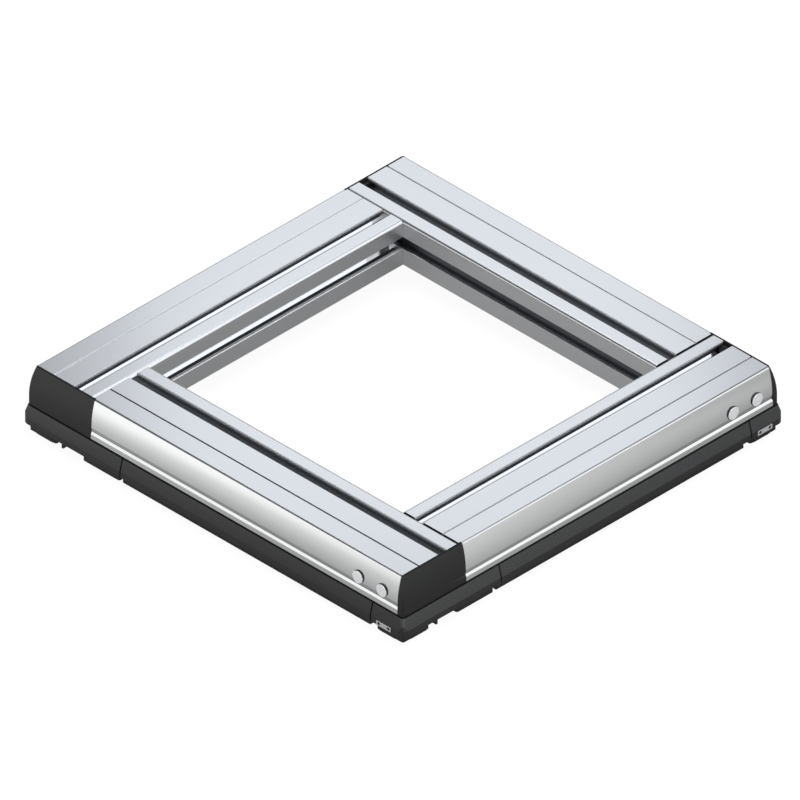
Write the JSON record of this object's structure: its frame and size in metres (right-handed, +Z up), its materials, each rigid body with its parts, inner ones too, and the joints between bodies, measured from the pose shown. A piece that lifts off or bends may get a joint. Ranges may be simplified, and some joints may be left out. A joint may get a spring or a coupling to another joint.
{
  "type": "workpiece carrier pallet",
  "caption": "Square open-frame workpiece carrier pallet of slotted aluminium profiles on a black moulded base, with corner end caps, stop plates and locating bushes.",
  "frame": {"origin": "centre of the running face, at the bottom of the feet", "axes": "+Z up through the top face; +X and +Y along two sides of the square; the front profile lies on the -Y side with its capped end at +X"},
  "size_m": [0.4006, 0.4006, 0.057],
  "materials": {
    "aluminium": "natural anodised, fine lengthwise draw lines",
    "cap_plastic": "smooth moulded, half matt",
    "base_plastic": "fine moulded grain",
    "plate_steel": "bright ground",
    "bush_steel": "hardened and ground",
    "screw_steel": "zinc plated",
    "cover_metal": "satin",
    "pin_black": "black oxide"
  },
  "bodies": {
    "root": {"profile_front": "aluminium", "end_cap_front": "cap_plastic", "corner_module_front": "base_plastic", "side_module_front": "base_plastic", "stop_plate_front": "plate_steel", "locating_bush_front": "bush_steel", "profile_right": "aluminium", "end_cap_right": "cap_plastic", "corner_module_right": "base_plastic", "side_module_right": "base_plastic", "stop_plate_right": "plate_steel", "locating_bush_right": "bush_steel", "profile_back": "aluminium", "end_cap_back": "cap_plastic", "corner_module_back": "base_plastic", "side_module_back": "base_plastic", "stop_plate_back": "plate_steel", "locating_bush_back": "bush_steel", "profile_left": "aluminium", "end_cap_left": "cap_plastic", "corner_module_left": "base_plastic", "side_module_left": "base_plastic", "stop_plate_left": "plate_steel", "locating_bush_left": "bush_steel", "joint_screws": "screw_steel", "joint_screw_covers": "cover_metal", "stop_plate_pins": "pin_black", "module_screws": "screw_steel"}
  },
  "joints": []
}
